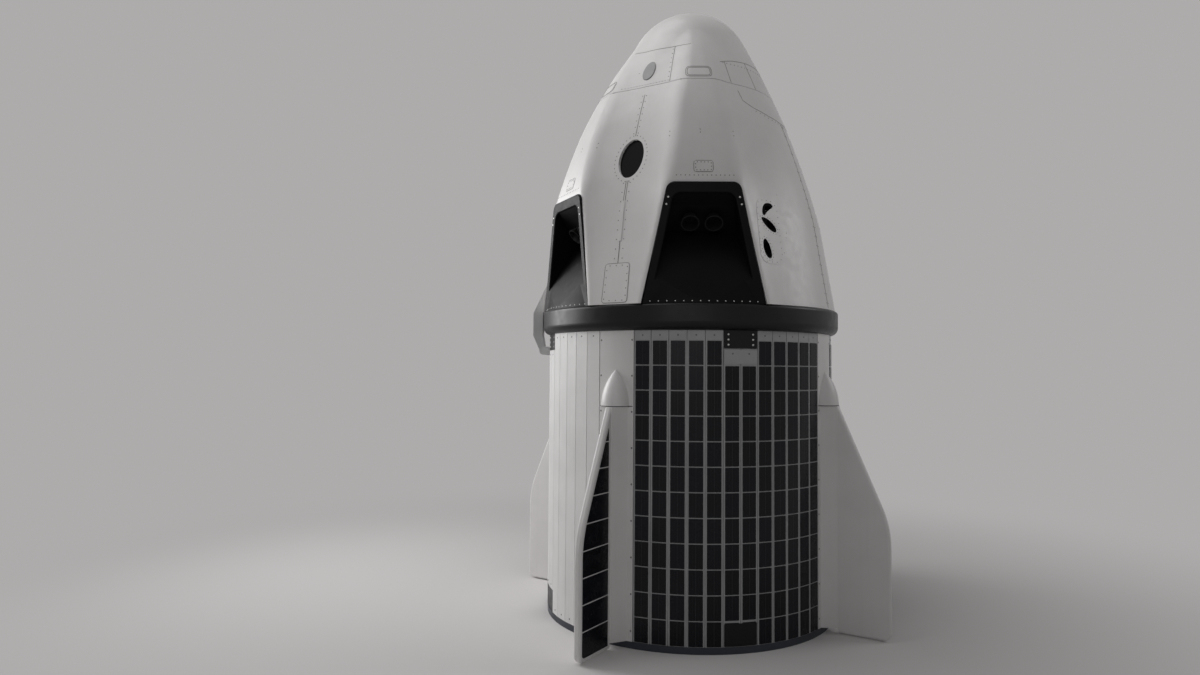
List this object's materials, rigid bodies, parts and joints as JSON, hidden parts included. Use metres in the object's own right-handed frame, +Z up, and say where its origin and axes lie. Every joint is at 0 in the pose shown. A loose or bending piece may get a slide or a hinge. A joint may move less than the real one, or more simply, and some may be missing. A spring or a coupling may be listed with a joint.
{
  "type": "crewed space capsule with finned trunk",
  "caption": "Gumdrop-shaped crew capsule with engine pods, hinged nose cone and side hatch, standing on a cylindrical trunk with fins, solar cells and radiators.",
  "frame": {"origin": "centre of the trunk's foot, on the floor", "axes": "+Z up along the vehicle's axis, -Y towards the front window, -X towards the side hatch"},
  "size_m": [5.36, 5.36, 8.1],
  "materials": {
    "body_white": "satin white paint",
    "shield_black": "gloss black coating",
    "bay_black": "gloss black paint",
    "solar_cell": "dark blue-black glassy cells",
    "panel_frame": "white panel edges",
    "radiator_white": "matt white radiator paint",
    "bare_metal": "milled aluminium",
    "base_dark": "dark blue-grey paint",
    "nozzle_metal": "heat-dulled nozzle metal",
    "hinge_metal": "machined hinge metal",
    "window_glass": "dark coated pane",
    "seat_shell": "pale moulded shell",
    "console_black": "dark moulded housing",
    "screen_glass": "dark glossy screens",
    "arm_grey": "grey paint"
  },
  "bodies": {
    "vehicle": {"base_ring": "base_dark", "cabin_floor": "bare_metal", "capsule_wall_front_left": "body_white", "capsule_wall_front_right": "body_white", "capsule_wall_rear_left": "body_white", "capsule_wall_rear_right": "body_white", "capture_ring": "bare_metal", "claw_bracket": "arm_grey", "crew_seats": "seat_shell", "display_console": "console_black", "display_screens": "screen_glass", "docking_ring": "bare_metal", "engine_bay_front_left": "bay_black", "engine_bay_front_right": "bay_black", "engine_bay_rear_left": "bay_black", "engine_bay_rear_right": "bay_black", "engine_nozzles_front_left": "nozzle_metal", "engine_nozzles_front_right": "nozzle_metal", "engine_nozzles_rear_left": "nozzle_metal", "engine_nozzles_rear_right": "nozzle_metal", "fin_cells": "solar_cell", "fin_fairing_front": "body_white", "fin_fairing_left": "body_white", "fin_fairing_rear": "body_white", "fin_fairing_right": "body_white", "fin_front": "body_white", "fin_left": "body_white", "fin_rear": "body_white", "fin_right": "body_white", "foot_covers": "shield_black", "forward_bulkhead": "bare_metal", "forward_hinge_brackets": "hinge_metal", "forward_thrusters": "nozzle_metal", "hatch_hinge_brackets": "hinge_metal", "heat_shield": "shield_black", "nose_hinge_brackets": "hinge_metal", "radiator_strips_front": "radiator_white", "radiator_strips_rear": "radiator_white", "seat_frame": "bare_metal", "solar_cells_front": "solar_cell", "solar_cells_rear": "solar_cell", "solar_strips_front": "panel_frame", "solar_strips_rear": "panel_frame", "steering_thrusters": "nozzle_metal", "tie_down_fittings": "shield_black", "trunk_barrel": "bare_metal", "window_pane_front": "window_glass", "window_pane_rear": "window_glass"},
    "nose": {"nose_cone": "body_white"},
    "side_hatch": {"side_hatch": "body_white", "hatch_window": "window_glass"},
    "forward_hatch": {"forward_hatch": "bare_metal"},
    "claw": {"claw_arm": "arm_grey"}
  },
  "joints": [
    {"name": "nose_hinge", "type": "hinge", "parent": "vehicle", "child": "nose", "pos_m": [0, 1.27532, 6.79], "axis": [-1, 0, 0], "range_deg": [0, 105]},
    {"name": "side_hatch_hinge", "type": "hinge", "parent": "vehicle", "child": "side_hatch", "pos_m": [-1.68248, 0.64, 5.16622], "axis": [-0.2561, 0, -0.9666], "range_deg": [0, 110]},
    {"name": "forward_hatch_hinge", "type": "hinge", "parent": "vehicle", "child": "forward_hatch", "pos_m": [0, -0.5, 6.5565], "axis": [-1, 0, 0], "range_deg": [0, 90]},
    {"name": "claw_hinge", "type": "hinge", "parent": "vehicle", "child": "claw", "pos_m": [-1.73226, -0.96928, 3.45], "axis": [0.4883, -0.8727, 0], "range_deg": [0, 60]}
  ]
}
